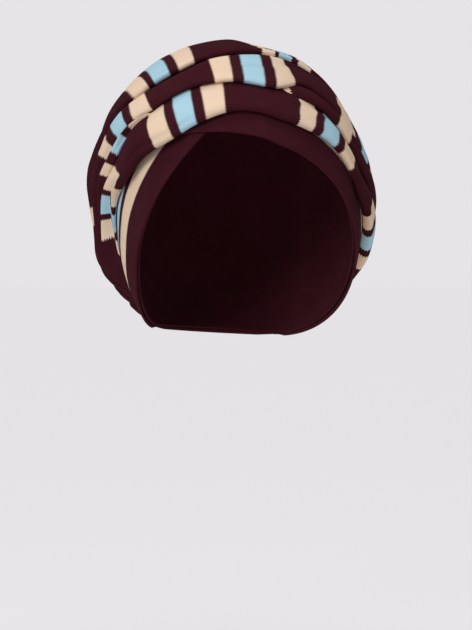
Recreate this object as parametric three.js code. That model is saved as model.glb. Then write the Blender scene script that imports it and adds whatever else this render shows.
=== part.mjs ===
import * as THREE from 'three';

// A pull-on turban of striped jersey, in millimetres. +Z is up and the face looks toward -Y,
// so the wearer's right is -X. The origin is the inside of the crown, where the top of the
// head touches.

// The hollow for the head
const hollowWidth = 159;
const hollowLength = 204;
const hollowDepth = 112; // from the crown down to the widest level
const hollowSetBack = 8; // its middle lies behind the crown point

// Cloth
const capWall = 2;
const wrapWall = 2.2;
const foldWall = 2.4;
const seatGap = 0.5; // between one layer and the layer that it lies on
const sideGap = 0.6; // between two folds that lie side by side

// How far the outer drape stands off the cap on each side
const bulkRight = 23;
const bulkLeft = 13.5;
const bulkFront = 9;
const bulkBack = 29;
const bulkTop = 11;
const drapeLift = 12; // its widest level lies above that of the head

// The two nape corners that every fold runs to, as shares of the drape's half sizes
const cornerAside = 0.475;
const cornerBack = 0.3;
const cornerDown = 0.845;
const foldShare = 0.93; // where the folds end, as a share of the way to a corner
const bandShare = 0.99; // where the cap and the bands end, likewise

// How fine the faceting is
const spans = 24; // along a fold, from end to end
const endSpans = 2; // along the bands, past each end of the folds
const capColumns = 15;
const wrapColumns = 11;
const napeColumns = 3;
const foldColumns = 8;
const pleatColumns = 6;
const backColumns = 24;

// Ellipsoids of the cap's outside and of the drape's outside
const cap = {
  middle: new THREE.Vector3(0, hollowSetBack, -hollowDepth),
  half: new THREE.Vector3(
    hollowWidth / 2 + capWall,
    hollowLength / 2 + capWall,
    hollowDepth + capWall,
  ),
};
const drape = {
  middle: new THREE.Vector3(
    (bulkLeft - bulkRight) / 2,
    hollowSetBack + (bulkBack - bulkFront) / 2,
    drapeLift - hollowDepth,
  ),
  half: new THREE.Vector3(
    cap.half.x + (bulkLeft + bulkRight) / 2,
    cap.half.y + (bulkFront + bulkBack) / 2,
    capWall + bulkTop + hollowDepth - drapeLift,
  ),
};

// Where the edges between the folds lie. "along" runs from -1 at the right nape corner over
// the head to 1 at the left one. The others are turns in degrees about the line through the
// corners, from the face (negative) over the crown to the nape.
const foldEdges = [
  { along: -1.0, frontLow: -30, frontTop: -6, pleatTop: 8, secondTop: 24, crownTop: 42 },
  { along: -0.8, frontLow: -8, frontTop: 3, pleatTop: 12, secondTop: 24, crownTop: 39 },
  { along: -0.7, frontLow: -3, frontTop: 4.5, pleatTop: 11, secondTop: 22, crownTop: 37 },
  { along: -0.6, frontLow: -6.5, frontTop: 2, pleatTop: 6.5, secondTop: 18, crownTop: 33 },
  { along: -0.5, frontLow: -12.5, frontTop: 0.5, pleatTop: 3, secondTop: 13, crownTop: 29 },
  { along: -0.4, frontLow: -15, frontTop: -2.2, pleatTop: 0.2, secondTop: 5.5, crownTop: 24 },
  { along: -0.3, frontLow: -18.5, frontTop: -7.2, pleatTop: -5.2, secondTop: 0.4, crownTop: 19 },
  { along: -0.2, frontLow: -21, frontTop: -10.3, pleatTop: -8.5, secondTop: -2.6, crownTop: 16 },
  { along: 0.0, frontLow: -23.5, frontTop: -15.2, pleatTop: -11.6, secondTop: -3.8, crownTop: 13 },
  { along: 0.1, frontLow: -25, frontTop: -17, pleatTop: -13.1, secondTop: -4.6, crownTop: 13 },
  { along: 0.2, frontLow: -26.5, frontTop: -19.2, pleatTop: -15.3, secondTop: -5.4, crownTop: 13 },
  { along: 0.3, frontLow: -28, frontTop: -20.8, pleatTop: -17.2, secondTop: -6, crownTop: 14 },
  { along: 0.4, frontLow: -29, frontTop: -20.8, pleatTop: -17, secondTop: -4, crownTop: 16 },
  { along: 0.6, frontLow: -29.5, frontTop: -15, pleatTop: -10, secondTop: 4, crownTop: 23 },
  { along: 0.8, frontLow: -31, frontTop: -8, pleatTop: 0, secondTop: 13, crownTop: 30 },
  { along: 1.0, frontLow: -38, frontTop: -8, pleatTop: 4, secondTop: 18, crownTop: 36 },
];

// The nape: turns of the back folds' hem, and of the nape band's two edges
const backHemTurn = 98;
const napeTopTurn = 92;
const napeLowTurn = 113;

// The face edges of the two bands that cross on the brow, in the same measures
const browEdges = [
  { along: -0.5, low: -7 },
  { along: -0.4, low: -11 },
  { along: -0.3, low: -15.7 },
  { along: -0.19, low: -20.6 },
  { along: -0.1, low: -23.6 },
  { along: 0.0, low: -26.3 },
  { along: 0.1, low: -28.6 },
  { along: 0.2, low: -31.0 },
  { along: 0.3, low: -33.5 },
  { along: 0.4, low: -37.0 },
  { along: 0.5, low: -42.0 },
  { along: 0.7, low: -52.0 },
  { along: 1.0, low: -66.0 },
];
const templeEdges = [
  { along: -1.0, low: -66 },
  { along: -0.7, low: -42 },
  { along: -0.6, low: -34 },
  { along: -0.5, low: -29.5 },
  { along: -0.4, low: -26.3 },
  { along: -0.3, low: -23.6 },
  { along: -0.19, low: -20.4 },
  { along: 0.0, low: -14 },
];
const browStart = -0.45; // the brow wrap's hidden end, under the front fold
const templeEnd = -0.05; // the temple wrap's hidden end, under the brow wrap
const crossing = -0.19; // where the two face edges meet
const bandTuck = 1.5; // degrees that the bands stop short of the front fold's upper edge
const capTuck = 1; // degrees that the cap's face edge stays behind the bands' edges

// The folds: how high each crest stands, as a share of the drape's bulk, how squarely its
// section comes down at the lower and the upper edge, and how many degrees the next fold laps
// over its upper edge
const frontShape = { crest: 0.94, squareLow: 2.6, squareHigh: 6, lap: 3 };
const pleatShape = { crest: 0.9, squareLow: 2.4, squareHigh: 4, lap: 3 };
const secondShape = { crest: 1, squareLow: 2.6, squareHigh: 6, lap: 3 };
const crownShape = { crest: 1, squareLow: 2.6, squareHigh: 6, lap: 4 };
const backShape = { crest: 1, squareLow: 9, squareHigh: 4, pleats: 4, pleatDepth: 0.24 };
const backTuck = 3; // degrees that the back folds' hem rolls out over the nape band
const frontOverhang = 4; // degrees that the front fold rolls out over the bands
const taperRight = 0.7; // shares along a fold where its crest starts to run down to its end
const taperLeft = 0.84;
const sag = 4.5; // how far the cloth hangs out over the left ear
const leastFooting = 0.06; // limits of a foot's breadth, as a share of its fold's
const mostFooting = 0.3;

// Where the drape sags out or is drawn in along its folds, as shares of the sag
const sagShares = [
  { along: -1.0, share: 0 },
  { along: -0.76, share: 0.7 },
  { along: -0.65, share: -0.5 },
  { along: -0.54, share: 0.2 },
  { along: -0.4, share: 0 },
  { along: 0.2, share: 0 },
  { along: 0.34, share: -0.5 },
  { along: 0.45, share: 0 },
  { along: 0.6, share: 1 },
  { along: 0.75, share: 1 },
  { along: 1.0, share: 0 },
];

const radians = THREE.MathUtils.degToRad;
const mix = THREE.MathUtils.lerp;
const smoothStep = (from, to, value) => THREE.MathUtils.smoothstep(value, from, to);

// A value read from a table's column, smooth between its rows
function tableValue(rows, column, along) {
  let row = 0;
  while (row < rows.length - 2 && rows[row + 1].along < along) row += 1;
  const before = rows[Math.max(row - 1, 0)];
  const start = rows[row];
  const end = rows[row + 1];
  const after = rows[Math.min(row + 2, rows.length - 1)];
  const span = end.along - start.along;
  const share = THREE.MathUtils.clamp((along - start.along) / span, 0, 1);
  const slopeIn = slope(before, end, column) * span;
  const slopeOut = slope(start, after, column) * span;
  const square = share * share;
  const cube = square * share;
  return (
    (2 * cube - 3 * square + 1) * start[column] +
    (cube - 2 * square + share) * slopeIn +
    (3 * square - 2 * cube) * end[column] +
    (cube - square) * slopeOut
  );
}

function slope(from, to, column) {
  return (to[column] - from[column]) / (to.along - from.along);
}

// The laying frame: the line through the nape corners, and the planes that turn about it
const corner = new THREE.Vector3(cornerAside, cornerBack, -cornerDown).normalize();
const hinge = new THREE.Vector3(0, corner.y, corner.z);
const inward = hinge.clone().normalize().negate();
const rearward = new THREE.Vector3(0, inward.z, -inward.y);

// A direction from the drape's middle, for a turn in degrees and a share along the fold
function direction(turn, along) {
  const out = inward.clone().multiplyScalar(Math.cos(radians(turn)));
  out.addScaledVector(rearward, Math.sin(radians(turn)));
  const reach = -hinge.dot(out);
  const radius = Math.hypot(corner.x, reach);
  const swing = Math.atan2(corner.x, -reach) * along;
  const point = hinge.clone().addScaledVector(out, reach + radius * Math.cos(swing));
  point.x = radius * Math.sin(swing);
  return point.multiply(drape.half);
}

// How far the cap's outside is from the drape's middle, that way
function capRadius(way) {
  const offset = drape.middle.clone().sub(cap.middle).divide(cap.half);
  const step = way.clone().divide(cap.half);
  const a = step.lengthSq();
  const b = offset.dot(step);
  const c = offset.lengthSq() - 1;
  return (Math.sqrt(b * b - a * c) - b) / a;
}

// The point at a height above the cap's outside
function layAt(turn, along, height) {
  const way = direction(turn, along).normalize();
  return way.multiplyScalar(capRadius(way) + height).add(drape.middle);
}

// The drape's bulk over the cap at a place
function bulkAt(turn, along) {
  const reach = direction(turn, along);
  const length = reach.length();
  const extra = sag * tableValue(sagShares, 'share', along);
  return length - capRadius(reach.divideScalar(length)) + extra;
}

// The point on the drape's outside, that way
function bulkPoint(turn, along) {
  return layAt(turn, along, bulkAt(turn, along));
}

// The steps that every piece shares along its length, so that neighbours facet alike
const foldSteps = [];
for (let step = 0; step <= spans; step += 1) {
  foldSteps.push(mix(-foldShare, foldShare, step / spans));
}
const bandSteps = [...foldSteps];
for (let step = 1; step <= endSpans; step += 1) {
  const along = mix(foldShare, bandShare, step / endSpans);
  bandSteps.unshift(-along);
  bandSteps.push(along);
}

// A closed wall between an outer and an inner sheet of points, rows along and columns across
function wallGeometry(rows) {
  const columns = rows[0].outer.length;
  const ring = 2 * columns;
  const positions = [];
  const faces = [];
  for (const row of rows) {
    for (const point of row.outer) positions.push(point.x, point.y, point.z);
    for (const point of [...row.inner].reverse()) positions.push(point.x, point.y, point.z);
  }
  const quad = (a, b, c, d) => faces.push(a, b, c, a, c, d);
  for (let row = 0; row + 1 < rows.length; row += 1) {
    for (let k = 0; k < ring; k += 1) {
      const next = (k + 1) % ring;
      const here = row * ring;
      quad(here + k, here + ring + k, here + ring + next, here + next);
    }
  }
  const last = (rows.length - 1) * ring;
  for (let k = 0; k + 1 < columns; k += 1) {
    const back = ring - 1 - k;
    quad(k, k + 1, back - 1, back);
    quad(last + k, last + back, last + back - 1, last + k + 1);
  }
  const geometry = new THREE.BufferGeometry();
  geometry.setAttribute('position', new THREE.Float32BufferAttribute(positions, 3));
  geometry.setIndex(faces);
  geometry.computeVertexNormals();
  return geometry;
}

// A flat-lying layer between two edges: edgeLow and edgeHigh give turns, lie its height
function layer(steps, columns, edgeLow, edgeHigh, lie, wall) {
  return wallGeometry(
    steps.map((along) => {
      const row = { outer: [], inner: [] };
      for (let k = 0; k <= columns; k += 1) {
        const turn = mix(edgeLow(along), edgeHigh(along), k / columns);
        row.outer.push(layAt(turn, along, lie(along) + wall));
        row.inner.push(layAt(turn, along, lie(along)));
      }
      return row;
    }),
  );
}

// How high an arched fold stands at a share of its width, from 0 at its feet to 1
function arch(share, shape) {
  const square = share < 0.5 ? shape.squareLow : shape.squareHigh;
  const rise = Math.sqrt(1 - Math.abs(2 * share - 1) ** square);
  if (!shape.pleats) return rise;
  const groove = 1 - Math.abs(Math.cos(Math.PI * shape.pleats * share));
  return rise * (1 - shape.pleatDepth * groove);
}

// A fold: a cloth arch that stands on two feet and whose crest follows the drape's bulk. Each
// edge is { turn, lap }, the turn at the crest's height and the degrees that it moves on its
// way down to the feet.
function fold(columns, edgeLow, edgeHigh, lie, shape, wall) {
  return wallGeometry(
    foldSteps.map((along) => {
      const low = edgeLow(along);
      const high = edgeHigh(along);
      const foot = lie(along);
      const taperFrom = along < 0 ? taperRight : taperLeft;
      const fullness = 1 - smoothStep(taperFrom, foldShare, Math.abs(along));
      const breadth = bulkPoint(low.turn, along).distanceTo(bulkPoint(high.turn, along));
      const trim = sideGap / 2 / breadth;
      const footing = THREE.MathUtils.clamp(wall / breadth, leastFooting, mostFooting);
      const place = (share, rise, depth) => {
        const across = mix(trim, 1 - trim, share);
        const bulk = bulkAt(mix(low.turn, high.turn, across), along);
        const crest = foot + wall + Math.max(bulk * shape.crest - foot - wall, 0) * fullness;
        const height = foot + (crest - depth - foot) * rise;
        const drop = 1 - height / Math.max(crest, bulk);
        const start = low.turn + low.lap * drop;
        const end = high.turn + high.lap * drop;
        return layAt(mix(start, end, across), along, height);
      };
      const row = { outer: [], inner: [] };
      for (let k = 0; k <= columns; k += 1) {
        const share = (1 - Math.cos((Math.PI * k) / columns)) / 2;
        const rise = arch(share, shape);
        row.outer.push(place(share, rise, 0));
        row.inner.push(place(mix(footing, 1 - footing, share), rise, wall));
      }
      return row;
    }),
  );
}

// An edge from the table, with its lap
function edge(column, lap) {
  return (along) => ({ turn: tableValue(foldEdges, column, along), lap });
}

// The layers that lie under the drape
const onCap = () => seatGap;
const onBand = () => 2 * seatGap + wrapWall;
const crossed = (along) => along > browStart && along < 0;
const browLie = (along) => (crossed(along) ? onBand() : onCap());
const frontLie = (along) => browLie(along) + wrapWall + seatGap;
const bandTop = (along) =>
  tableValue(foldEdges, 'frontTop', along) + frontShape.lap - bandTuck;

function underCap() {
  const low = (along) => {
    const rows = along < crossing ? templeEdges : browEdges;
    return tableValue(rows, 'low', along) + capTuck;
  };
  const high = () => napeLowTurn - capTuck;
  return layer(bandSteps, capColumns, low, high, () => -capWall, capWall);
}

function templeWrap() {
  const low = (along) => tableValue(templeEdges, 'low', along);
  const steps = bandSteps.filter((along) => along < templeEnd);
  return layer(steps, wrapColumns, low, bandTop, onCap, wrapWall);
}

function browWrap() {
  const low = (along) => tableValue(browEdges, 'low', along);
  const steps = bandSteps.filter((along) => along > browStart);
  return layer(steps, wrapColumns, low, bandTop, browLie, wrapWall);
}

function napeBand() {
  return layer(bandSteps, napeColumns, () => napeTopTurn, () => napeLowTurn, onCap, wrapWall);
}

const frontLow = edge('frontLow', frontOverhang);
const frontTop = edge('frontTop', frontShape.lap);
const pleatTop = edge('pleatTop', pleatShape.lap);
const secondTop = edge('secondTop', secondShape.lap);
const crownTop = edge('crownTop', crownShape.lap);
const backLow = () => ({ turn: backHemTurn, lap: -backTuck });

// Jersey colours
const burgundy = 0x3b131c;
const cream = 0xf0d8be;
const blue = 0xb9d5e2;

const pieces = [
  ['under_cap', underCap(), burgundy],
  ['temple_wrap', templeWrap(), burgundy],
  ['brow_wrap', browWrap(), burgundy],
  ['front_fold', fold(foldColumns, frontLow, frontTop, frontLie, frontShape, foldWall), cream],
  ['narrow_pleat', fold(pleatColumns, frontTop, pleatTop, onCap, pleatShape, foldWall), burgundy],
  ['second_fold', fold(foldColumns, pleatTop, secondTop, onCap, secondShape, foldWall), blue],
  ['crown_fold', fold(foldColumns, secondTop, crownTop, onCap, crownShape, foldWall), cream],
  ['back_folds', fold(backColumns, crownTop, backLow, onBand, backShape, foldWall), burgundy],
  ['nape_band', napeBand(), burgundy],
];

const headwrap = new THREE.Group();
for (const [name, geometry, color] of pieces) {
  const material = new THREE.MeshStandardMaterial({ color, roughness: 0.9, metalness: 0 });
  const piece = new THREE.Mesh(geometry, material);
  piece.name = name;
  headwrap.add(piece);
}

export default headwrap;
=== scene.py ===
"""A pull-on turban of striped jersey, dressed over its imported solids.

Lengths in the laying tables are millimetres, as a maker would note them. Meshes are metres.
"""

import math

import bmesh
import bpy
import numpy as np
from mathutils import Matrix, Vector, noise


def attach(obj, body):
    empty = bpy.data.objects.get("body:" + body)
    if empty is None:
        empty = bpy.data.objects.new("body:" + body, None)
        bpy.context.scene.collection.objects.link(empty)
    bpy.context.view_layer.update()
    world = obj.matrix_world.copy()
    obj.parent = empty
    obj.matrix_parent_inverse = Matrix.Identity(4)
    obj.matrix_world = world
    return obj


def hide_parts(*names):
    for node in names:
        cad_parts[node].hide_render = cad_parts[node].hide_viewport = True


bl_info = {
    "name": "Turban headwrap",
    "version": (1, 0, 0),
    "blender": (4, 5, 0),
    "location": "3D View > Sidebar > Headwrap",
    "description": "Lays a jersey turban in soft folds over its fitted cap",
    "category": "Add Mesh",
}

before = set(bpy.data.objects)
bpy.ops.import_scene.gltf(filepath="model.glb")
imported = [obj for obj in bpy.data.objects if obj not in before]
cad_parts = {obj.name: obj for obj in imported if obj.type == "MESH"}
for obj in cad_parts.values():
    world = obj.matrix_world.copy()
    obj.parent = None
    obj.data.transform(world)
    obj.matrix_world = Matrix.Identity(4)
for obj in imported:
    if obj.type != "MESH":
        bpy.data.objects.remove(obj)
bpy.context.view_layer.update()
MM = 0.001

# Ellipsoids of the cap's outside and of the drape's outside
CAP_MIDDLE = np.array([0.0, 8.0, -112.0])
CAP_HALF = np.array([81.5, 104.0, 114.0])
BULK_RIGHT = 23.0
BULK_LEFT = 13.5
BULK_FRONT = 9.0
BULK_BACK = 29.0
BULK_TOP = 11.0
DRAPE_LIFT = 12.0
DRAPE_MIDDLE = CAP_MIDDLE + np.array(
    [(BULK_LEFT - BULK_RIGHT) / 2, (BULK_BACK - BULK_FRONT) / 2, DRAPE_LIFT]
)
DRAPE_HALF = CAP_HALF + np.array(
    [(BULK_LEFT + BULK_RIGHT) / 2, (BULK_FRONT + BULK_BACK) / 2, BULK_TOP - DRAPE_LIFT]
)

# The laying frame: folds turn about the line through the two nape corners
CORNER = np.array([0.475, 0.3, -0.845])
CORNER = CORNER / np.linalg.norm(CORNER)
HINGE = np.array([0.0, CORNER[1], CORNER[2]])
INWARD = -HINGE / np.linalg.norm(HINGE)
REARWARD = np.array([0.0, INWARD[2], -INWARD[1]])

SEAT_GAP = 0.5
BAND_WALL = 2.2
FOLD_END = 0.93
BAND_END = 0.998

# Turns in degrees of the edges between the folds, for shares along them from the right
# nape corner (-1) over the head to the left one (1)
FOLD_COLUMNS = ("front_low", "front_top", "pleat_top", "second_top", "crown_top")
FOLD_EDGES = {
    -1.0: (0, 8, 14, 27, 42),
    -0.8: (20, 24, 27, 32, 43),
    -0.7: (16, 20.5, 23.5, 28.5, 39.5),
    -0.6: (1.5, 9.5, 13.5, 20.5, 34),
    -0.5: (-11.3, -1.0, 3.2, 13.5, 29),
    -0.4: (-15.4, -4.7, -3.6, 6.7, 24),
    -0.3: (-18.9, -9.2, -7.6, 0.4, 19),
    -0.2: (-19.8, -10.3, -8.5, -2.6, 16),
    -0.1: (-20.3, -12.6, -9.9, -2.8, 14.2),
    0.0: (-22.3, -15.2, -11.2, -2.8, 13),
    0.1: (-23.9, -16.2, -11.8, -3.0, 13),
    0.2: (-24.9, -18.0, -13.8, -3.6, 13),
    0.3: (-27.5, -20.0, -15.2, -4.6, 14),
    0.4: (-30.6, -20.8, -17, -4, 16),
    0.6: (-30.4, -15, -10, 4, 23),
    0.8: (-31, -8, 0, 13, 30),
    1.0: (-38, -8, 4, 18, 36),
}
BROW_EDGE = {
    -0.5: -7, -0.4: -11, -0.3: -15.7, -0.19: -20.6, -0.1: -23.6, 0.0: -26.3, 0.1: -28.6,
    0.2: -31.0, 0.3: -33.5, 0.4: -37.0, 0.5: -42.0, 0.7: -52.0, 1.0: -66.0,
}
TEMPLE_EDGE = {
    -1.0: -66, -0.7: -42, -0.6: -34, -0.5: -29.5, -0.4: -26.3, -0.3: -23.6, -0.19: -20.4, 0.0: -14,
}
# How far the drape hangs out in millimetres, and where it sags or is drawn in along its
# folds, as shares of that
SAG = 4.5
SAG_SHARES = {
    -1.0: 0, -0.76: 0.7, -0.65: -0.5, -0.54: 0.2, -0.4: 0, 0.2: 0, 0.34: -0.5, 0.45: 0,
    0.6: 1, 0.75: 1, 1.0: 0,
}

# Shares along: the hidden ends of the two bands, the place where their face edges cross,
# and where the brow wrap comes down from the temple wrap and lifts the front fold
BROW_START = -0.45
TEMPLE_END = -0.05
CROSSING = -0.19
CROSSED_END = (-0.035, 0.04)
FRONT_LIFT = (BROW_START - 0.10, BROW_START - 0.01)

# Turns in degrees: the nape's edges, how far the cap and the bands stay under others, and
# how far the folds' edges are moved up and wander
BACK_HEM = 98.0
NAPE_TOP = 92.0
NAPE_LOW = 113.0
CAP_TUCK = 1.2
BAND_TUCK = 1.5
EDGE_LIFT = 1.0
EDGE_WANDER = 0.45
WANDER_RATE = 7.0
# The cap's cloth, and how far it lies inside its ellipsoid, in millimetres
CAP_CLOTH = 1.6
CAP_SINK = 0.15
# How the bands' outsides ripple: the depth in millimetres, the ripples for one share along,
# and their width in turns
BAND_RIPPLE = 0.22
RIPPLE_RATE = 30.0
RIPPLE_TURN = 5.0

# One stripe group is cream, burgundy, blue, burgundy, cream, and a burgundy field follows it
STRIPE_REPEAT = 121.0
CREAM_WIDTH = 16.0
GAP_WIDTH = 8.0
BLUE_WIDTH = 15.0
BAND_BORDER = 25.0
TEETH = 1.7  # how far the knitted edges of the stripes reach to and fro
EDGE_SOFTNESS = 0.14

# How dark each colour is painted between the stitches, as painted shade in shares of its channels,
# and how light the burgundy is painted on them, as a painted highlight
STITCH_SHADE_SHARES = (0.62, 0.62, 0.62)
CREAM_STITCH_SHADE_SHARES = (0.84, 0.8, 0.76)
BLUE_STITCH_SHADE_SHARES = (0.74, 0.82, 0.86)
STITCH_HIGHLIGHT_SHARE = 1.5
STITCH_HIGHLIGHT_LIFT = 0.006
FLUFF_SCALE = 1700.0
PATCH_SCALE = 42.0

# Where the cloth's length reads a given number of millimetres: the shares along each fold
# at its lower and at its upper edge
STRIPES_FRONT = {
    -179: (-0.99, -0.97), -121: (-0.760, -0.705), -105: (-0.721, -0.655),
    -97: (-0.695, -0.640), -82: (-0.645, -0.582), -74: (-0.619, -0.565), -58: (-0.547, -0.480),
    0: (-0.341, -0.318), 16: (-0.280, -0.270), 24: (-0.252, -0.240), 39: (-0.202, -0.188),
    47: (-0.172, -0.160), 63: (-0.118, -0.101), 121: (0.083, 0.111), 137: (0.129, 0.161),
    145: (0.159, 0.192), 160: (0.216, 0.250), 168: (0.241, 0.272), 184: (0.300, 0.330),
    242: (0.458, 0.47), 258: (0.517, 0.515), 266: (0.545, 0.54), 281: (0.600, 0.60),
    289: (0.624, 0.62), 305: (0.674, 0.67), 363: (0.85, 0.85), 426: (1.0, 1.0),
}
STRIPES_PLEAT = {
    -175: (-0.97, -0.97), -125: (-0.548, -0.548), -121: (-0.531, -0.531),
    -105: (-0.496, -0.496), -97: (-0.460, -0.460), -82: (-0.407, -0.407),
    -74: (-0.377, -0.377), -58: (-0.308, -0.318), 0: (-0.15, -0.15),
    16: (-0.10, -0.10), 24: (-0.075, -0.075), 39: (-0.02, -0.02), 47: (0.01, 0.01),
    63: (0.09, 0.075), 121: (0.240, 0.250), 137: (0.300, 0.305), 141: (0.317, 0.322),
    142: (0.95, 0.95),
}
STRIPES_SECOND = {
    -175: (-0.97, -0.97), -125: (-0.506, -0.493), -121: (-0.488, -0.475),
    -105: (-0.452, -0.430), -97: (-0.420, -0.405), -82: (-0.379, -0.358), -74: (-0.354, -0.332),
    -58: (-0.300, -0.292), 0: (-0.120, -0.108), 16: (-0.075, -0.055), 24: (-0.046, -0.026),
    39: (0.007, 0.027), 47: (0.040, 0.057),
    63: (0.100, 0.082), 121: (0.262, 0.262), 137: (0.340, 0.335), 145: (0.385, 0.38),
    160: (0.43, 0.43), 168: (0.455, 0.455), 184: (0.52, 0.52), 188: (0.537, 0.537),
    242: (0.95, 0.95),
}
STRIPES_CROWN = {
    -200: (-0.95, -0.95), -199: (-0.665, -0.665), -195: (-0.647, -0.647),
    -179: (-0.607, -0.607), -121: (-0.319, -0.300), -105: (-0.275, -0.255),
    -97: (-0.258, -0.232), -82: (-0.213, -0.180),
    -74: (-0.187, -0.150), -58: (-0.143, -0.105), 0: (0.045, 0.045), 16: (0.080, 0.117),
    24: (0.090, 0.135), 39: (0.128, 0.175), 47: (0.148, 0.195), 63: (0.188, 0.245),
    121: (0.290, 0.285), 137: (0.340, 0.335), 145: (0.362, 0.36), 160: (0.400, 0.40),
    168: (0.417, 0.417), 184: (0.452, 0.45), 242: (0.57, 0.59), 305: (0.73, 0.75),
    360: (0.97, 0.97),
}
STRIPES_BACK = {
    -175: (-0.97, -0.97), -121: (-0.62, -0.64), -105: (-0.58, -0.60), -97: (-0.56, -0.58),
    -82: (-0.525, -0.54), -74: (-0.505, -0.52), -58: (-0.465, -0.48), 0: (-0.31, -0.32),
    63: (-0.13, -0.14), 121: (0.03, 0.02), 184: (0.20, 0.18), 242: (0.36, 0.34),
    305: (0.53, 0.51), 363: (0.69, 0.67), 426: (0.86, 0.84), 480: (0.97, 0.97),
}

# How each fold is laid: its edges, what it stands on, how far it fills the drape, the
# radius of its rolled lower edge, and the pleats of the back
FOLDS = {
    "front_fold": dict(
        low="front_low", high="front_top", over="bands", crest=0.96, roll=4.2, tail=0.58,
        stripes=STRIPES_FRONT, seed=3,
    ),
    "narrow_pleat": dict(
        low="front_top", high="pleat_top", over="cap", crest=0.97, roll=1.9, tail=0.72,
        stripes=STRIPES_PLEAT, seed=11,
    ),
    "second_fold": dict(
        low="pleat_top", high="second_top", over="cap", crest=1.0, roll=2.3, tail=0.88,
        stripes=STRIPES_SECOND, seed=23,
    ),
    "crown_fold": dict(
        low="second_top", high="crown_top", over="cap", crest=1.0, roll=2.4, tail=1.0,
        stripes=STRIPES_CROWN, seed=31,
    ),
    "back_folds": dict(
        low="crown_top", high="back_hem", over="nape", crest=1.0, roll=2.6, tail=1.0,
        stripes=STRIPES_BACK, seed=43, pleats=4, pleat_depth=4.2,
    ),
}
# Where the narrow pleat dives under the second fold, as shares along
DIVE_START = (-0.48, -0.20)
DIVE_END = (0.02, 0.16)
# Where the folds thin out towards the nape corners, as shares along
EASE_FROM = 0.6
TAPER_RIGHT = 0.70
TAPER_LEFT = 0.84
TAPER_LEFT_END = 0.97
TAIL_SPAN = (0.34, 0.5)

# How a fold is shaped across, in millimetres
RETURN_WIDTH = 7.0
FRONT_RETURN_WIDTH = 12.0
OVERLAP = 6.0
SHOULDER = 8.0
FRONT_SHOULDER = 11.0
FALL = 13.0
TUCK_LEAST = 1.2
TUCK_MORE = 4.2
TUCK_CLEARANCE = 0.35
PLEAT_DIVE = 6.5
FOOT_CLEARANCE = 0.2
LENGTH_PER_SHARE = 240.0
ROLL_LEAST = 0.8
ROLL_CHANGE = 0.22
ROLL_RATE = 9.0
# The waves in a fold's cloth: their lengths along and across in millimetres, and their shares
LONG_WAVE = (70.0, 8.5)
SMALL_WAVE = (30.0, 4.2)
LONG_SHARE = 0.8
SMALL_SHARE = 0.25
WAVE_SINK = 0.2
RETURN_COLUMNS = 5
ROLL_COLUMNS = 9

# The stage, in metres and degrees
FILL_STRENGTH = 0.40
FLOOR_HEIGHT = -0.42
FLOOR_RADIUS = 30.0
CAMERA_DISTANCE = 2.2
CAMERA_AZIMUTH = -16.0
CAMERA_ELEVATION = 1.0
TARGET_RIGHT = -0.0042
TARGET_UP = -0.1806
LAMP_AIM = (0.0, 0.0, -0.08)

# Creases pressed into the folds: share along and share across at each end, then the width
# and the depth in millimetres, where a negative depth is a ridge
CREASES = {
    "front_fold": (
        (-0.12, 0.62, 0.10, 0.80, 5, 0.9),
        (-0.55, 0.45, -0.22, 0.72, 6, 0.8),
        (0.02, 0.30, 0.30, 0.55, 6, 0.6),
    ),
    "second_fold": (
        (-0.30, 0.30, 0.02, 0.45, 6, 0.9),
        (0.05, 0.62, 0.36, 0.30, 5, 1.1),
        (-0.78, 0.35, -0.40, 0.55, 6, 1.4),
    ),
    "crown_fold": (
        (-0.80, 0.30, -0.38, 0.20, 7, 2.2),
        (-0.80, 0.55, -0.45, 0.45, 7, 2.0),
        (-0.02, 0.45, 0.17, 0.45, 60, 2.6),
        (-0.52, 0.40, -0.36, 0.40, 60, 2.6),
        (-0.05, 0.30, 0.20, 0.55, 8, 1.2),
        (0.10, 0.12, 0.50, 0.40, 6, 1.2),
    ),
    "back_folds": (),
    "narrow_pleat": (
        (0.20, 0.62, 0.62, 0.45, 5, -1.3),
    ),
}


def smooth_step(low, high, value):
    """A ramp from 0 to 1 with level ends."""
    share = np.clip((value - low) / (high - low), 0.0, 1.0)
    return share * share * (3.0 - 2.0 * share)


def mix(first, second, share):
    """The value a share of the way from first to second."""
    return first + (second - first) * share


def smooth_table(places, values, along):
    """A column of a table read at many places, smooth between its rows."""
    places = np.asarray(places, dtype=float)
    values = np.asarray(values, dtype=float)
    slopes = np.empty_like(values)
    slopes[1:-1] = (values[2:] - values[:-2]) / (places[2:] - places[:-2])
    slopes[0] = (values[1] - values[0]) / (places[1] - places[0])
    slopes[-1] = (values[-1] - values[-2]) / (places[-1] - places[-2])
    row = np.clip(np.searchsorted(places, along, side="right") - 1, 0, len(places) - 2)
    span = places[row + 1] - places[row]
    share = np.clip((along - places[row]) / span, 0.0, 1.0)
    square = share * share
    cube = square * share
    return (
        (2 * cube - 3 * square + 1) * values[row]
        + (cube - 2 * square + share) * slopes[row] * span
        + (3 * square - 2 * cube) * values[row + 1]
        + (cube - square) * slopes[row + 1] * span
    )


def line_noise(places, second, third):
    """Smooth noise along a line of places."""
    return np.array([noise.noise(Vector((place, second, third))) for place in places])


def fold_edge(name, along):
    """The turn of an edge between two folds. The soft wander is shared by both folds."""
    if name == "back_hem":
        return np.full_like(along, BACK_HEM)
    column = FOLD_COLUMNS.index(name)
    turn = smooth_table(
        list(FOLD_EDGES), [row[column] for row in FOLD_EDGES.values()], along
    )
    wander = line_noise(along * WANDER_RATE, column * 5.3, 0.7)
    return turn + EDGE_WANDER * wander * (1 - smooth_step(EASE_FROM, 0.9, np.abs(along)))


def edge_table(table, along):
    """The turn of a band's face edge."""
    return smooth_table(list(table), list(table.values()), along)


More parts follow.
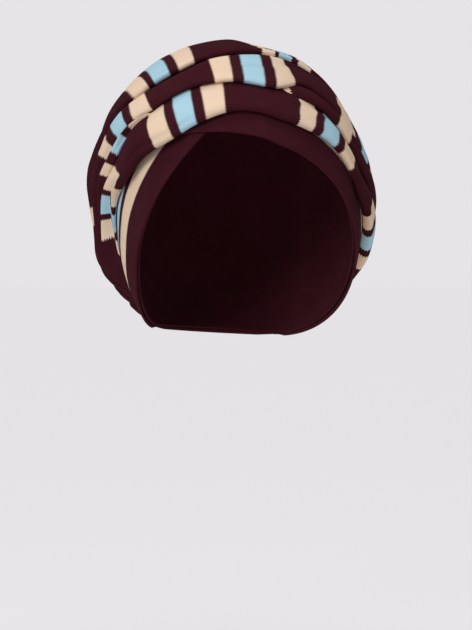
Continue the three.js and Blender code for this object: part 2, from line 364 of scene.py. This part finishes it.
def directions(turn, along):
    """Ways from the drape's middle, for turns in degrees and shares along the folds."""
    angle = np.radians(turn)[..., None]
    out = np.cos(angle) * INWARD + np.sin(angle) * REARWARD
    reach = -(out @ HINGE)
    radius = np.hypot(CORNER[0], reach)
    swing = np.arctan2(CORNER[0], -reach) * along
    point = HINGE + out * (reach + radius * np.cos(swing))[..., None]
    point[..., 0] = radius * np.sin(swing)
    return point * DRAPE_HALF


def cap_radius(way):
    """How far the cap's outside is from the drape's middle, that way."""
    offset = (DRAPE_MIDDLE - CAP_MIDDLE) / CAP_HALF
    step = way / CAP_HALF
    a = (step * step).sum(-1)
    b = step @ offset
    c = offset @ offset - 1
    return (np.sqrt(b * b - a * c) - b) / a


def lay(turn, along, height):
    """Points at heights above the cap's outside."""
    turn, along, height = np.broadcast_arrays(turn, along, height)
    way = directions(turn, along)
    way = way / np.linalg.norm(way, axis=-1, keepdims=True)
    return way * (cap_radius(way) + height)[..., None] + DRAPE_MIDDLE


def bulk(turn, along):
    """The drape's bulk over the cap."""
    turn, along = np.broadcast_arrays(turn, along)
    way = directions(turn, along)
    length = np.linalg.norm(way, axis=-1)
    extra = SAG * smooth_table(list(SAG_SHARES), list(SAG_SHARES.values()), along)
    return length - cap_radius(way / length[..., None]) + extra


def brow_lie(along):
    """How high the brow wrap lies: over the temple wrap, then down on the cap."""
    crossed = 1 - smooth_step(*CROSSED_END, along)
    return mix(SEAT_GAP, 2 * SEAT_GAP + BAND_WALL, crossed)


def front_lie(along):
    """How high the front fold's feet stand over the bands."""
    started = smooth_step(*FRONT_LIFT, along)
    return mix(SEAT_GAP, brow_lie(along), started) + BAND_WALL + SEAT_GAP


def foot_height(over, along):
    """How high a fold's feet stand."""
    if over == "bands":
        return front_lie(along)
    if over == "nape":
        return np.full_like(along, 2 * SEAT_GAP + BAND_WALL)
    return np.full_like(along, SEAT_GAP)


def across_lengths(points):
    """Lengths in millimetres from the lower edge, along each row of points."""
    steps = np.linalg.norm(np.diff(points, axis=1), axis=-1)
    return np.concatenate([np.zeros((len(points), 1)), np.cumsum(steps, axis=1)], axis=1)


def along_lengths(points):
    """Lengths in millimetres from the first row, along the middle of the cloth."""
    middle = points[:, points.shape[1] // 2]
    steps = np.linalg.norm(np.diff(middle, axis=0), axis=-1)
    return np.concatenate([[0.0], np.cumsum(steps)])


def soft_noise(first, second, seed):
    """Smooth noise over a grid of places."""
    values = [
        noise.noise(Vector((a, b, seed))) for a, b in zip(first.ravel(), second.ravel())
    ]
    return np.array(values).reshape(first.shape)


def crease_depth(creases, along, share, breadth):
    """How deep the pressed creases are at each place of a fold, in millimetres."""
    depth = np.zeros(np.broadcast(along, share).shape)
    for start, share_start, end, share_end, width, deep in creases:
        run = np.clip((along - start) / (end - start), 0.0, 1.0)
        line = mix(share_start, share_end, run)
        near = np.exp(-(((share - line) * breadth / (width * 0.5)) ** 2))
        fade = smooth_step(start, start + 0.08, along) * (1 - smooth_step(end - 0.08, end, along))
        depth = depth + deep * near * fade
    return depth


def sheet_object(name, points, cloth):
    """A cloth sheet: a grid whose points are moved to their places, with its cloth lengths."""
    rows, columns = points.shape[:2]
    mesh = bpy.data.meshes.new(name)
    sheet = bmesh.new()
    bmesh.ops.create_grid(sheet, x_segments=rows - 1, y_segments=columns - 1, size=1.0)
    lengths = sheet.loops.layers.uv.new("Cloth")
    sheet.verts.ensure_lookup_table()
    place = {}
    for vertex in sheet.verts:
        row = round((vertex.co.x + 1) / 2 * (rows - 1))
        column = round((vertex.co.y + 1) / 2 * (columns - 1))
        place[vertex.index] = (row, column)
        vertex.co = points[row, column] * MM
    for face in sheet.faces:
        face.smooth = True
        for loop in face.loops:
            row, column = place[loop.vert.index]
            loop[lengths].uv = cloth[row, column] * MM
    middle = Vector(DRAPE_MIDDLE * MM)
    sheet.normal_update()
    facing = sum(
        face.normal.dot(face.calc_center_median() - middle) * face.calc_area()
        for face in sheet.faces
    )
    if facing < 0:
        bmesh.ops.reverse_faces(sheet, faces=sheet.faces[:])
    sheet.to_mesh(mesh)
    sheet.free()
    piece = bpy.data.objects.new(name, mesh)
    bpy.context.scene.collection.objects.link(piece)
    return piece


def thicken(piece, thickness):
    """Gives a sheet the thickness of its cloth, inwards."""
    wall = piece.modifiers.new("Cloth thickness", "SOLIDIFY")
    wall.thickness = thickness * MM
    wall.offset = -1.0
    wall.use_rim = True
    return piece


def settle(piece, node, material):
    """Hands a finished piece to the frame."""
    piece.data.materials.append(material)
    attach(piece, "root")
    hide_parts(node)


def dive(along):
    """How far the narrow pleat has gone under the second fold, from 0 to 1."""
    return smooth_step(*DIVE_START, along) * (1 - smooth_step(*DIVE_END, along))


def low_edge(name, along):
    """The turn of a fold's rolled edge."""
    turn = fold_edge(FOLDS[name]["low"], along)
    if name == "second_fold":
        turn = mix(turn, fold_edge("front_top", along), dive(along))
    return turn + EDGE_LIFT


def ends_fade(along):
    """How full the drape is: it thins out to each nape corner, later on the left."""
    right = 1 - smooth_step(TAPER_RIGHT, FOLD_END, -along)
    return right * (1 - smooth_step(TAPER_LEFT, TAPER_LEFT_END, along))


def crest_height(name, turn, along, cloth_mm):
    """How high a fold's outside stands at a turn, before its edges are shaped."""
    fold = FOLDS[name]
    foot = foot_height(fold["over"], along) + cloth_mm
    fullness = ends_fade(along) * (1 - (1 - fold["tail"]) * smooth_step(*TAIL_SPAN, -along))
    if turn.ndim > along.ndim:
        foot = foot[:, None]
        fullness = fullness[:, None]
        along = along[:, None]
    return foot + np.maximum(bulk(turn, along) * fold["crest"] - foot, 0) * fullness


def easing(along):
    """How fully a fold's section is shaped: it eases off to each nape corner."""
    return 1 - smooth_step(EASE_FROM, FOLD_END, np.abs(along))


def tuck_depth(along):
    """How deep a fold's upper edge dives to pass under the next fold."""
    return TUCK_LEAST + TUCK_MORE * easing(along)


def seat_height(name, low, along, cloth_mm):
    """How high a fold's rolled edge starts: on its feet, or on the fold under it."""
    names = list(FOLDS)
    if name == names[0]:
        return foot_height(FOLDS[name]["over"], along)
    base = crest_height(names[names.index(name) - 1], low, along, cloth_mm)
    if name == "second_fold":
        front = crest_height("front_fold", low, along, cloth_mm)
        base = mix(base, front, dive(along))
    return base - tuck_depth(along) + TUCK_CLEARANCE


def roll_radius(name, rise, breadth, along):
    """The radius of a fold's rolled edge, for how far the crest rises over its seat."""
    fold = FOLDS[name]
    roll = 1.0 + (fold["roll"] - 1.0) * easing(along)
    roll = roll * (1 + ROLL_CHANGE * line_noise(along * ROLL_RATE, fold["seed"], 1.3))
    roll = np.minimum(roll, np.maximum(rise / 2, ROLL_LEAST))
    return np.minimum(roll, 0.2 * breadth)


def pleated(fold, outer, share, along):
    """The back's heights, with its pleats and its rounded hem."""
    tread = (share * fold["pleats"]) % 1.0
    drop = fold["pleat_depth"] * smooth_step(0.35, 1.0, tread)
    drop = drop * (1 - smooth_step(0.75, 0.95, share))
    outer = outer - drop * easing(along)[:, None]
    foot = foot_height(fold["over"], along)[:, None]
    hem = np.sqrt(np.maximum(1 - np.maximum(2 * share - 1, 0) ** 4, 0))
    return foot + (outer - foot) * hem


def wrinkles(name, place, roll, breadth, share, along, sizes):
    """How far soft waves and pressed creases move a fold's cloth, in millimetres."""
    seed = FOLDS[name]["seed"]
    inside = smooth_step(0.5, 7.0, place - roll[:, None])
    if not FOLDS[name].get("pleats"):
        inside = inside * (1 - smooth_step(-6.0, 1.0, place - breadth))
    gather = 1 + 1.5 * smooth_step(0.4, 0.85, np.abs(along))[:, None]
    reach = (along[:, None] + 1) * LENGTH_PER_SHARE + 0 * place
    long_waves = soft_noise(reach / LONG_WAVE[0], place / LONG_WAVE[1], seed)
    small_waves = soft_noise(reach / SMALL_WAVE[0], place / SMALL_WAVE[1], seed + 5.0)
    dents = crease_depth(CREASES[name], along[:, None], share, breadth)
    waves = LONG_SHARE * long_waves + SMALL_SHARE * small_waves - WAVE_SINK
    return inside * (sizes.wrinkle_depth * gather * waves - dents) * easing(along)[:, None]


def fold_cloth(name, part, points, along):
    """The cloth's lengths along and across a fold: along it, as its stripes need."""
    table = FOLDS[name]["stripes"]
    marks = list(table)
    cloth_low = np.interp(along, [row[0] for row in table.values()], marks)[:, None]
    cloth_high = np.interp(along, [row[1] for row in table.values()], marks)[:, None]
    share = np.clip(part, 0.0, 1.1)
    if name == "front_fold":
        stepped = smooth_step(0.05, 0.17, share)
        share = mix(share, stepped, smooth_step(0.38, 0.5, -along)[:, None])
    cloth = np.empty(points.shape[:2] + (2,))
    cloth[..., 0] = mix(cloth_low, cloth_high, share)
    cloth[..., 1] = across_lengths(points)
    return cloth


def fold_points(name, sizes):
    """Points of a fold, and the cloth's lengths along and across it."""
    fold = FOLDS[name]
    first = name == list(FOLDS)[0]
    last = "pleats" in fold
    along = np.linspace(-FOLD_END, FOLD_END, sizes.rows_along)
    low = low_edge(name, along)
    high = fold_edge(fold["high"], along) + (0.0 if last else EDGE_LIFT)
    low_points = lay(low, along, bulk(low, along))
    high_points = lay(high, along, bulk(high, along))
    breadth = np.linalg.norm(low_points - high_points, axis=-1)
    base = seat_height(name, low, along, sizes.cloth_mm)
    top = crest_height(name, low, along, sizes.cloth_mm)
    roll = roll_radius(name, top + 1.0 - base, breadth, along)
    back = np.minimum(FRONT_RETURN_WIDTH if first else RETURN_WIDTH, 0.6 * breadth)
    overlap = 0.0 if last else np.minimum(OVERLAP, 0.5 * breadth)
    places = []
    heights = []
    for share in np.linspace(0.0, 1.0, RETURN_COLUMNS, endpoint=False):
        places.append(mix(back, roll, share))
        heights.append(base)
    for bend in np.linspace(-math.pi / 2, math.pi / 2, ROLL_COLUMNS):
        places.append(roll * (1 - math.cos(bend)))
        heights.append(base + roll * (1 + math.sin(bend)))
    count = sizes.columns_back if last else sizes.columns_fold
    for share in np.linspace(0.0, 1.0, count)[1:]:
        places.append(mix(roll, breadth + overlap, share))
        heights.append(0 * base)
    height = np.stack(heights, axis=1)
    place = np.stack(places, axis=1)
    breadth = breadth[:, None]
    part = place / breadth
    turn = low[:, None] + (high - low)[:, None] * part
    main = RETURN_COLUMNS + ROLL_COLUMNS
    place = place[:, main:]
    share = np.clip(part[:, main:], 0.0, 1.0)
    crest = crest_height(name, turn[:, main:], along, sizes.cloth_mm)
    edge_top = (base + 2 * roll)[:, None]
    shoulder = np.minimum(FRONT_SHOULDER if first else SHOULDER, 0.4 * breadth)
    rising = np.clip((place - roll[:, None]) / shoulder, 0.0, 1.0)
    outer = mix(edge_top, crest, np.sqrt(1 - (1 - rising) ** 2))
    if last:
        outer = pleated(fold, outer, share, along)
    else:
        fall = np.minimum(FALL, 0.45 * breadth)
        down = smooth_step(breadth - fall, breadth + 1.0, place)
        outer = outer - tuck_depth(along)[:, None] * down
    if name == "narrow_pleat":
        sunk = PLEAT_DIVE * dive(along)[:, None]
        outer = outer - sunk
        height = height - sunk
    outer = outer + wrinkles(name, place, roll, breadth, share, along, sizes)
    foot = foot_height(fold["over"], along)[:, None] + FOOT_CLEARANCE
    height[:, main:] = np.maximum(outer, foot)
    points = lay(turn, along[:, None], height)
    return points, fold_cloth(name, part, points, along)


def band_points(along, low, high, lie, hem, sizes, flip):
    """Points of a band: a hem turned under, its rolled edge and its outside."""
    scale = np.linalg.norm(
        lay(low + 0.5, along, lie) - lay(low - 0.5, along, lie), axis=-1
    )
    width = np.abs(high - low) * scale
    roll = np.minimum(BAND_WALL / 2, 0.12 * width)
    hem = np.minimum(hem, 0.4 * width)
    sign = -1.0 if flip else 1.0
    turns = []
    heights = []
    for back in np.linspace(hem, 0.0, sizes.columns_hem, endpoint=False):
        turns.append(low + sign * (roll + back) / scale)
        heights.append(lie + 0 * low)
    for bend in np.linspace(-math.pi / 2, math.pi / 2, sizes.columns_roll):
        turns.append(low + sign * roll * (1 - math.cos(bend)) / scale)
        heights.append(lie + roll * (1 + math.sin(bend)))
    first = low + sign * roll / scale
    for share in np.linspace(0.0, 1.0, sizes.columns_band)[1:]:
        turns.append(mix(first, high, share))
        heights.append(lie + 2 * roll)
    turn = np.stack(turns, axis=1)
    height = np.stack(heights, axis=1)
    ripple = soft_noise(
        (along[:, None] * RIPPLE_RATE) + 0 * turn, (turn - low[:, None]) / RIPPLE_TURN, 71.0
    )
    outside = np.zeros(turn.shape[1])
    outside[sizes.columns_hem + sizes.columns_roll:] = 1.0
    height = height - BAND_RIPPLE * outside * (0.5 + 0.5 * ripple)
    points = lay(turn, along[:, None], height)
    edge = sizes.columns_hem + sizes.columns_roll // 2
    lengths = across_lengths(points)
    lengths = lengths - lengths[:, edge:edge + 1]
    cloth = np.empty(points.shape[:2] + (2,))
    cloth[..., 0] = lengths - BAND_BORDER
    cloth[..., 1] = along_lengths(points)[:, None]
    return points, cloth


class Maths:
    """A shader value that adds its own maths nodes when it is used in an expression."""

    def __init__(self, tree, socket):
        self.tree = tree
        self.socket = socket

    def join(self, operation, *values):
        node = self.tree.nodes.new("ShaderNodeMath")
        node.operation = operation
        for socket, value in zip(node.inputs, values):
            if isinstance(value, Maths):
                self.tree.links.new(value.socket, socket)
            else:
                socket.default_value = value
        return Maths(self.tree, node.outputs[0])

    def __add__(self, other):
        return self.join("ADD", self, other)

    __radd__ = __add__

    def __sub__(self, other):
        return self.join("SUBTRACT", self, other)

    def __rsub__(self, other):
        return self.join("SUBTRACT", other, self)

    def __mul__(self, other):
        return self.join("MULTIPLY", self, other)

    __rmul__ = __mul__

    def __truediv__(self, other):
        return self.join("DIVIDE", self, other)

    def __abs__(self):
        return self.join("ABSOLUTE", self)

    def wrapped(self, high):
        """The value repeated from 0 up to high."""
        return self.join("WRAP", self, high, 0.0)

    def cosine(self):
        """The cosine of the value."""
        return self.join("COSINE", self)

    def limited(self):
        """The value kept from 0 to 1."""
        return self.join("MAXIMUM", self.join("MINIMUM", self, 1.0), 0.0)


class Finish:
    """A material, and the nodes that are laid in it."""

    def __init__(self, name):
        self.material = bpy.data.materials.new(name)
        self.material.use_nodes = True
        self.tree = self.material.node_tree
        self.tree.nodes.clear()

    def node(self, kind, settings, sockets):
        """Adds a node, sets it up, then fills its sockets with values or links."""
        node = self.tree.nodes.new(kind)
        for name, value in settings.items():
            setattr(node, name, value)
        for name, value in sockets.items():
            if isinstance(value, Maths):
                self.tree.links.new(value.socket, node.inputs[name])
            else:
                node.inputs[name].default_value = value
        return node

    def output(self, node, name):
        """An output socket of a node, ready for an expression."""
        return Maths(self.tree, node.outputs[name])

    def blend(self, share, first, second):
        """A colour between two colours."""
        node = self.node(
            "ShaderNodeMix",
            {"data_type": "RGBA"},
            {0: share, 6: first, 7: second},
        )
        return Maths(self.tree, node.outputs[2])


def colour(values):
    """A shader colour from a colour property."""
    return (values[0], values[1], values[2], 1.0)


def shaded(values, shares):
    """A shader colour with each of its channels brought down to a share, for painted shade."""
    return tuple(value * share for value, share in zip(values, shares)) + (1.0,)


def jersey(name, sizes, striped):
    """Fine knitted jersey: stitches, fluff, its stripes where it has them, painted stitch shade
    and highlight.
    """
    finish = Finish(name)
    lengths = finish.node("ShaderNodeUVMap", {"uv_map": "Cloth"}, {})
    parts = finish.node(
        "ShaderNodeSeparateXYZ", {}, {"Vector": finish.output(lengths, "UV")}
    )
    run = finish.output(parts, "X") / MM
    side = finish.output(parts, "Y") / MM
    place = finish.node("ShaderNodeTexCoord", {}, {})
    place = finish.output(place, "Object")
    wale = (side / sizes.stitch_width).wrapped(1.0)
    leg = abs(wale - 0.5) * 2.0
    row = run / sizes.stitch_height + leg * 0.75
    loops = 0.5 + 0.5 * (row * (2 * math.pi)).cosine()
    strand = 0.5 - 0.5 * (leg * (2 * math.pi)).cosine()
    stitch = strand * (0.45 + 0.55 * loops)
    fluff = finish.node(
        "ShaderNodeTexNoise",
        {"noise_dimensions": "3D"},
        {"Vector": place, "Scale": FLUFF_SCALE, "Detail": 3.0, "Roughness": 0.65},
    )
    fluff = finish.output(fluff, "Fac")
    patches = finish.node(
        "ShaderNodeTexNoise",
        {"noise_dimensions": "3D"},
        {"Vector": place, "Scale": PATCH_SCALE, "Detail": 4.0, "Roughness": 0.6},
    )
    patches = finish.output(patches, "Fac")
    ground = colour(sizes.burgundy)
    # Painted shade between the stitches and a painted highlight on them, mixed with the yarn's own
    # random tone from patches and fluff
    dark = shaded(ground, STITCH_SHADE_SHARES)
    light = tuple(value * STITCH_HIGHLIGHT_SHARE + STITCH_HIGHLIGHT_LIFT for value in ground[:3]) + (1.0,)
    tone = (patches * 0.7 + fluff * 0.6 + stitch * 0.6 - 0.4).limited()
    base = finish.blend(tone, dark, light)
    if striped:
        repeat = (run + leg * TEETH + STRIPE_REPEAT * 8).wrapped(STRIPE_REPEAT)
        group = 2 * (CREAM_WIDTH + GAP_WIDTH) + BLUE_WIDTH
        from_middle = abs(repeat - group / 2)
        blue_mask = ((BLUE_WIDTH / 2 - from_middle) / EDGE_SOFTNESS + 0.5).limited()
        inner = BLUE_WIDTH / 2 + GAP_WIDTH
        cream_middle = inner + CREAM_WIDTH / 2
        from_cream = abs(from_middle - cream_middle)
        cream_mask = ((CREAM_WIDTH / 2 - from_cream) / EDGE_SOFTNESS + 0.5).limited()
        # Painted shade between the stitches of the cream and blue stripes, mixed with the yarn's
        # own random tone from patches and fluff
        shade = (0.1 + patches * 0.45 + fluff * 0.35 + stitch * 0.75).limited()
        cream = colour(sizes.cream)
        blue = colour(sizes.blue)
        cream_with_painted_shade = finish.blend(shade, shaded(cream, CREAM_STITCH_SHADE_SHARES), cream)
        blue_with_painted_shade = finish.blend(shade, shaded(blue, BLUE_STITCH_SHADE_SHARES), blue)
        base = finish.blend(cream_mask, base, cream_with_painted_shade)
        base = finish.blend(blue_mask, base, blue_with_painted_shade)
    relief = stitch * 0.75 + fluff * 0.4
    bump = finish.node(
        "ShaderNodeBump", {}, {"Strength": 0.7, "Distance": 0.0005, "Height": relief}
    )
    roughness = 0.86 + fluff * 0.12
    shader = finish.node(
        "ShaderNodeBsdfPrincipled",
        {},
        {
            "Base Color": base,
            "Roughness": roughness,
            "Normal": finish.output(bump, "Normal"),
            "Specular IOR Level": 0.03,
            "Sheen Weight": 0.012,
            "Sheen Roughness": 0.55,
            "Sheen Tint": (1.0, 0.45, 0.55, 1.0),
        },
    )
    finish.node(
        "ShaderNodeOutputMaterial", {}, {"Surface": finish.output(shader, "BSDF")}
    )
    return finish.material


def material_named(name, sizes, striped):
    """The material of that name, made the first time that it is needed."""
    return bpy.data.materials.get(name) or jersey(name, sizes, striped)


class HeadwrapSizes(bpy.types.PropertyGroup):
    """Sizes and colours of the headwrap's cloth."""

    burgundy: bpy.props.FloatVectorProperty(
        name="Burgundy", description="Ground colour of the jersey", subtype="COLOR",
        size=3, min=0.0, max=1.0, default=(0.042, 0.0050, 0.0098),
    )
    cream: bpy.props.FloatVectorProperty(
        name="Cream", description="Colour of the outer stripes of a group", subtype="COLOR",
        size=3, min=0.0, max=1.0, default=(0.86, 0.66, 0.49),
    )
    blue: bpy.props.FloatVectorProperty(
        name="Light blue", description="Colour of the middle stripe of a group",
        subtype="COLOR", size=3, min=0.0, max=1.0, default=(0.43, 0.66, 0.76),
    )
    cloth_mm: bpy.props.FloatProperty(
        name="Cloth", description="Thickness of the folded jersey in millimetres",
        min=0.5, max=3.0, default=1.2,
    )
    band_cloth_mm: bpy.props.FloatProperty(
        name="Band cloth", description="Thickness of one layer of a band in millimetres",
        min=0.3, max=1.2, default=0.9,
    )
    stitch_width: bpy.props.FloatProperty(
        name="Stitch width", description="Width of one column of stitches in millimetres",
        min=0.4, max=4.0, default=1.9,
    )
    stitch_height: bpy.props.FloatProperty(
        name="Stitch height", description="Height of one row of stitches in millimetres",
        min=0.4, max=4.0, default=1.15,
    )
    wrinkle_depth: bpy.props.FloatProperty(
        name="Wrinkles", description="Depth of the soft wrinkles in millimetres",
        min=0.0, max=3.0, default=1.0,
    )
    hem_mm: bpy.props.FloatProperty(
        name="Hem", description="How far the bands' edges turn under, in millimetres",
        min=2.0, max=15.0, default=8.0,
    )
    rows_along: bpy.props.IntProperty(
        name="Rows along", description="Rows of faces along each fold",
        min=40, max=600, default=340,
    )
    columns_fold: bpy.props.IntProperty(
        name="Columns of a fold", description="Columns of points across a fold",
        min=12, max=120, default=56,
    )
    columns_back: bpy.props.IntProperty(
        name="Columns of the back", description="Columns of points across the back folds",
        min=24, max=200, default=120,
    )
    columns_band: bpy.props.IntProperty(
        name="Columns of a band", description="Columns of points across a band",
        min=8, max=80, default=34,
    )
    columns_hem: bpy.props.IntProperty(
        name="Columns of a hem", description="Columns of points across a hem",
        min=2, max=12, default=5,
    )
    columns_roll: bpy.props.IntProperty(
        name="Columns of a rolled edge", description="Points round a band's rolled edge",
        min=3, max=15, default=9,
    )
    lens: bpy.props.FloatProperty(
        name="Lens", description="Focal length of the camera in millimetres",
        subtype="DISTANCE_CAMERA", min=20.0, max=400.0, default=179.6,
    )
    key_power: bpy.props.FloatProperty(
        name="Key light", description="Power of the soft light from the upper left",
        unit="POWER", min=0.0, max=500.0, default=30.0,
    )


class HEADWRAP_OT_cap(bpy.types.Operator):
    """Lay the fitted inner cap"""

    bl_idname = "headwrap.cap"
    bl_label = "Fitted cap"

    def execute(self, context):
        sizes = context.scene.headwrap
        along = np.linspace(-BAND_END, BAND_END, sizes.rows_along // 2)
        low = np.where(
            along < CROSSING, edge_table(TEMPLE_EDGE, along), edge_table(BROW_EDGE, along)
        )
        share = np.linspace(0.0, 1.0, sizes.columns_back)[None, :]
        turn = mix(low[:, None] + CAP_TUCK, NAPE_LOW - CAP_TUCK, share)
        points = lay(turn, along[:, None], -CAP_SINK)
        cloth = np.empty(points.shape[:2] + (2,))
        cloth[..., 0] = across_lengths(points)
        cloth[..., 1] = along_lengths(points)[:, None]
        piece = thicken(sheet_object("fitted_cap", points, cloth), CAP_CLOTH)
        material = material_named("plain_jersey", sizes, False)
        settle(piece, "under_cap", material)
        return {"FINISHED"}


class HEADWRAP_OT_bands(bpy.types.Operator):
    """Lay the two crossed brow bands and the nape band"""

    bl_idname = "headwrap.bands"
    bl_label = "Crossed bands"

    def execute(self, context):
        sizes = context.scene.headwrap
        rows = sizes.rows_along
        along = np.linspace(-BAND_END, TEMPLE_END - 0.01, rows * 2 // 3)
        low = edge_table(TEMPLE_EDGE, along)
        high = fold_edge("front_top", along) + BAND_TUCK
        seat = np.full_like(along, SEAT_GAP)
        self.lay_band("temple_band", "temple_wrap", along, low, high, seat, sizes)
        along = np.linspace(BROW_START, BAND_END, rows)
        low = edge_table(BROW_EDGE, along)
        high = fold_edge("front_top", along) + BAND_TUCK
        self.lay_band("brow_band", "brow_wrap", along, low, high, brow_lie(along), sizes)
        along = np.linspace(-BAND_END, BAND_END, rows // 2)
        low = np.full_like(along, NAPE_LOW)
        high = np.full_like(along, NAPE_TOP)
        seat = np.full_like(along, SEAT_GAP)
        self.lay_band("nape_edge_band", "nape_band", along, low, high, seat, sizes)
        return {"FINISHED"}

    def lay_band(self, name, node, along, low, high, lie, sizes):
        """Lays one band from its low edge to its high edge."""
        flip = node == "nape_band"
        points, cloth = band_points(along, low, high, lie, sizes.hem_mm, sizes, flip)
        piece = thicken(sheet_object(name, points, cloth), sizes.band_cloth_mm)
        material = material_named("striped_jersey", sizes, True)
        settle(piece, node, material)


class HEADWRAP_OT_folds(bpy.types.Operator):
    """Lay the folds of the outer drape, from the brow to the nape"""

    bl_idname = "headwrap.folds"
    bl_label = "Folds of the drape"

    def execute(self, context):
        sizes = context.scene.headwrap
        material = material_named("striped_jersey", sizes, True)
        below = ["brow_wrap", "under_cap", "under_cap", "under_cap", "under_cap"]
        for name, seat in zip(FOLDS, below):
            points, cloth = fold_points(name, sizes)
            piece = thicken(sheet_object("draped_" + name, points, cloth), sizes.cloth_mm)
            settle(piece, name, material)
        return {"FINISHED"}


class HEADWRAP_OT_stage(bpy.types.Operator):
    """Set the pale floor, the soft studio light and the camera"""

    bl_idname = "headwrap.stage"
    bl_label = "Stage"

    def execute(self, context):
        sizes = context.scene.headwrap
        scene = context.scene
        scene.view_settings.view_transform = "Standard"
        floor_mesh = bpy.data.meshes.new("studio_floor")
        disc = bmesh.new()
        bmesh.ops.create_circle(disc, cap_ends=True, segments=96, radius=FLOOR_RADIUS)
        bmesh.ops.translate(disc, verts=disc.verts, vec=(0.0, 0.0, FLOOR_HEIGHT))
        disc.to_mesh(floor_mesh)
        disc.free()
        floor = bpy.data.objects.new("studio_floor", floor_mesh)
        scene.collection.objects.link(floor)
        paint = Finish("pale_floor")
        matt = paint.node(
            "ShaderNodeBsdfDiffuse", {}, {"Color": (0.06, 0.059, 0.061, 1.0)}
        )
        glow = paint.node(
            "ShaderNodeEmission", {}, {"Color": (0.8, 0.785, 0.805, 1.0), "Strength": 0.945}
        )
        both = paint.node("ShaderNodeAddShader", {}, {})
        paint.tree.links.new(matt.outputs[0], both.inputs[0])
        paint.tree.links.new(glow.outputs[0], both.inputs[1])
        paint.node("ShaderNodeOutputMaterial", {}, {"Surface": paint.output(both, "Shader")})
        floor_mesh.materials.append(paint.material)
        world = bpy.data.worlds.new("studio")
        scene.world = world
        world.use_nodes = True
        sky = world.node_tree.nodes["Background"]
        sky.inputs["Color"].default_value = (0.79, 0.775, 0.796, 1.0)
        path = world.node_tree.nodes.new("ShaderNodeLightPath")
        seen = Maths(world.node_tree, path.outputs["Is Camera Ray"])
        strength = FILL_STRENGTH + seen * (1.0 - FILL_STRENGTH)
        world.node_tree.links.new(strength.socket, sky.inputs["Strength"])
        lamps = (
            ("key_light", (-1.5, -1.6, 1.1), 1.0, sizes.key_power),
            ("top_light", (-0.2, -0.5, 1.9), 1.2, sizes.key_power * 0.5),
        )
        for name, place, size, power in lamps:
            data = bpy.data.lights.new(name, "AREA")
            data.shape = "DISK"
            data.size = size
            data.energy = power
            lamp = bpy.data.objects.new(name, data)
            lamp.location = place
            aim = Vector(LAMP_AIM) - Vector(place)
            lamp.rotation_euler = aim.to_track_quat("-Z", "Y").to_euler()
            scene.collection.objects.link(lamp)
        azimuth = math.radians(CAMERA_AZIMUTH)
        height = math.radians(CAMERA_ELEVATION)
        away = Vector((
            math.sin(azimuth) * math.cos(height),
            -math.cos(azimuth) * math.cos(height),
            math.sin(height),
        ))
        right = Vector((math.cos(azimuth), math.sin(azimuth), 0.0))
        up = away.cross(right)
        target = right * TARGET_RIGHT + up * TARGET_UP
        data = bpy.data.cameras.new("camera")
        data.lens = sizes.lens
        data.clip_end = 100.0
        camera = bpy.data.objects.new("camera", data)
        camera.location = target + away * CAMERA_DISTANCE
        camera.rotation_euler = (-away).to_track_quat("-Z", "Y").to_euler()
        scene.collection.objects.link(camera)
        scene.camera = camera
        return {"FINISHED"}


class HEADWRAP_PT_panel(bpy.types.Panel):
    """Lists the steps that lay the headwrap"""

    bl_idname = "HEADWRAP_PT_panel"
    bl_label = "Headwrap"
    bl_space_type = "VIEW_3D"
    bl_region_type = "UI"
    bl_category = "Headwrap"

    def draw(self, context):
        layout = self.layout
        sizes = context.scene.headwrap
        for name in ("burgundy", "cream", "blue", "cloth_mm", "wrinkle_depth"):
            layout.prop(sizes, name)
        for step in STEPS:
            layout.operator(step.bl_idname)


STEPS = (HEADWRAP_OT_stage, HEADWRAP_OT_cap, HEADWRAP_OT_bands, HEADWRAP_OT_folds)
CLASSES = (HeadwrapSizes,) + STEPS + (HEADWRAP_PT_panel,)


def register():
    for item in CLASSES:
        bpy.utils.register_class(item)
    bpy.types.Scene.headwrap = bpy.props.PointerProperty(type=HeadwrapSizes)


def unregister():
    del bpy.types.Scene.headwrap
    for item in reversed(CLASSES):
        bpy.utils.unregister_class(item)


def main():
    """Makes the headwrap step by step."""
    register()
    bpy.ops.headwrap.stage()
    bpy.ops.headwrap.cap()
    bpy.ops.headwrap.bands()
    bpy.ops.headwrap.folds()
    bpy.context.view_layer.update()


if __name__ == "__main__":
    main()
